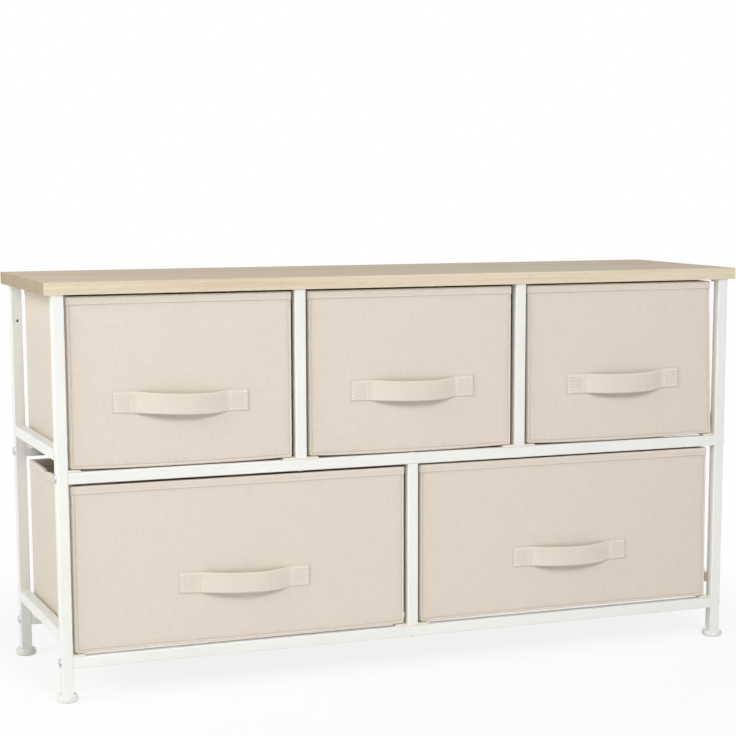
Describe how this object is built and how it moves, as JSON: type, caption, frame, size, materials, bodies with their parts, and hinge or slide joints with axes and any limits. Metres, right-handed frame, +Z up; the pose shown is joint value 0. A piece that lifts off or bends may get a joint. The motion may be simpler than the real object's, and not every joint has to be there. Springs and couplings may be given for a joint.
{
  "type": "fabric drawer dresser",
  "caption": "Low, wide dresser: a white square-tube frame with a wood-look top board, carrying pull-out fabric bins with strap handles, on round levelling feet.",
  "frame": {"origin": "on the floor, midway between the four feet, which is the middle of the bounding box", "axes": "+Z up, -Y towards the front where the drawers open, +X to the right as seen from the front"},
  "size_m": [1, 0.297, 0.542],
  "materials": {
    "frame_steel": "white powder coat, satin",
    "board_laminate": "wood-grain melamine foil on particle board, matt",
    "edge_strip": "printed edge strip, fine grain, matt",
    "bin_fabric": "linen-look woven fabric, beige, stitched",
    "stiffener_board": "grey-brown board, uncoated",
    "foot_plastic": "moulded off-white plastic, fine texture, for the feet and the rests under the bins",
    "plug_plastic": "moulded white plastic",
    "bolt_steel": "zinc plated"
  },
  "bodies": {
    "frame": {"board_screws": "bolt_steel", "board_tabs": "frame_steel", "corner_rests": "foot_plastic", "divider_bolts": "bolt_steel", "divider_lower_front": "frame_steel", "divider_lower_rear": "frame_steel", "divider_nuts": "plug_plastic", "divider_rests": "foot_plastic", "divider_upper_left_front": "frame_steel", "divider_upper_left_rear": "frame_steel", "divider_upper_right_front": "frame_steel", "divider_upper_right_rear": "frame_steel", "foot_inserts": "plug_plastic", "frame_bolts": "bolt_steel", "post_front_left": "frame_steel", "post_front_right": "frame_steel", "post_rear_left": "frame_steel", "post_rear_right": "frame_steel", "rail_end_nuts": "plug_plastic", "rail_low_front": "frame_steel", "rail_low_rear": "frame_steel", "rail_mid_front": "frame_steel", "rail_mid_rear": "frame_steel", "side_rail_low_left": "frame_steel", "side_rail_low_right": "frame_steel", "side_rail_mid_left": "frame_steel", "side_rail_mid_right": "frame_steel", "top_board": "board_laminate", "top_board_edging": "edge_strip"},
    "drawer_upper_left": {"drawer_upper_left_base_board": "stiffener_board", "drawer_upper_left_cover": "bin_fabric", "drawer_upper_left_handle": "bin_fabric", "drawer_upper_left_hem": "bin_fabric", "drawer_upper_left_side_boards": "stiffener_board"},
    "drawer_upper_middle": {"drawer_upper_middle_base_board": "stiffener_board", "drawer_upper_middle_cover": "bin_fabric", "drawer_upper_middle_handle": "bin_fabric", "drawer_upper_middle_hem": "bin_fabric", "drawer_upper_middle_side_boards": "stiffener_board"},
    "drawer_upper_right": {"drawer_upper_right_base_board": "stiffener_board", "drawer_upper_right_cover": "bin_fabric", "drawer_upper_right_handle": "bin_fabric", "drawer_upper_right_hem": "bin_fabric", "drawer_upper_right_side_boards": "stiffener_board"},
    "drawer_lower_left": {"drawer_lower_left_base_board": "stiffener_board", "drawer_lower_left_cover": "bin_fabric", "drawer_lower_left_handle": "bin_fabric", "drawer_lower_left_hem": "bin_fabric", "drawer_lower_left_side_boards": "stiffener_board"},
    "drawer_lower_right": {"drawer_lower_right_base_board": "stiffener_board", "drawer_lower_right_cover": "bin_fabric", "drawer_lower_right_handle": "bin_fabric", "drawer_lower_right_hem": "bin_fabric", "drawer_lower_right_side_boards": "stiffener_board"},
    "foot_front_left": {"foot_front_left": "foot_plastic"},
    "foot_front_right": {"foot_front_right": "foot_plastic"},
    "foot_rear_left": {"foot_rear_left": "foot_plastic"},
    "foot_rear_right": {"foot_rear_right": "foot_plastic"}
  },
  "joints": [
    {"name": "drawer_upper_left_slide", "type": "slide", "parent": "frame", "child": "drawer_upper_left", "axis": [0, -1, 0], "range_m": [0, 0.21]},
    {"name": "drawer_upper_middle_slide", "type": "slide", "parent": "frame", "child": "drawer_upper_middle", "axis": [0, -1, 0], "range_m": [0, 0.21]},
    {"name": "drawer_upper_right_slide", "type": "slide", "parent": "frame", "child": "drawer_upper_right", "axis": [0, -1, 0], "range_m": [0, 0.21]},
    {"name": "drawer_lower_left_slide", "type": "slide", "parent": "frame", "child": "drawer_lower_left", "axis": [0, -1, 0], "range_m": [0, 0.21]},
    {"name": "drawer_lower_right_slide", "type": "slide", "parent": "frame", "child": "drawer_lower_right", "axis": [0, -1, 0], "range_m": [0, 0.21]},
    {"name": "foot_front_left_screw", "type": "slide", "parent": "frame", "child": "foot_front_left", "axis": [0, 0, -1], "range_m": [0, 0.01]},
    {"name": "foot_front_right_screw", "type": "slide", "parent": "frame", "child": "foot_front_right", "axis": [0, 0, -1], "range_m": [0, 0.01]},
    {"name": "foot_rear_left_screw", "type": "slide", "parent": "frame", "child": "foot_rear_left", "axis": [0, 0, -1], "range_m": [0, 0.01]},
    {"name": "foot_rear_right_screw", "type": "slide", "parent": "frame", "child": "foot_rear_right", "axis": [0, 0, -1], "range_m": [0, 0.01]}
  ]
}
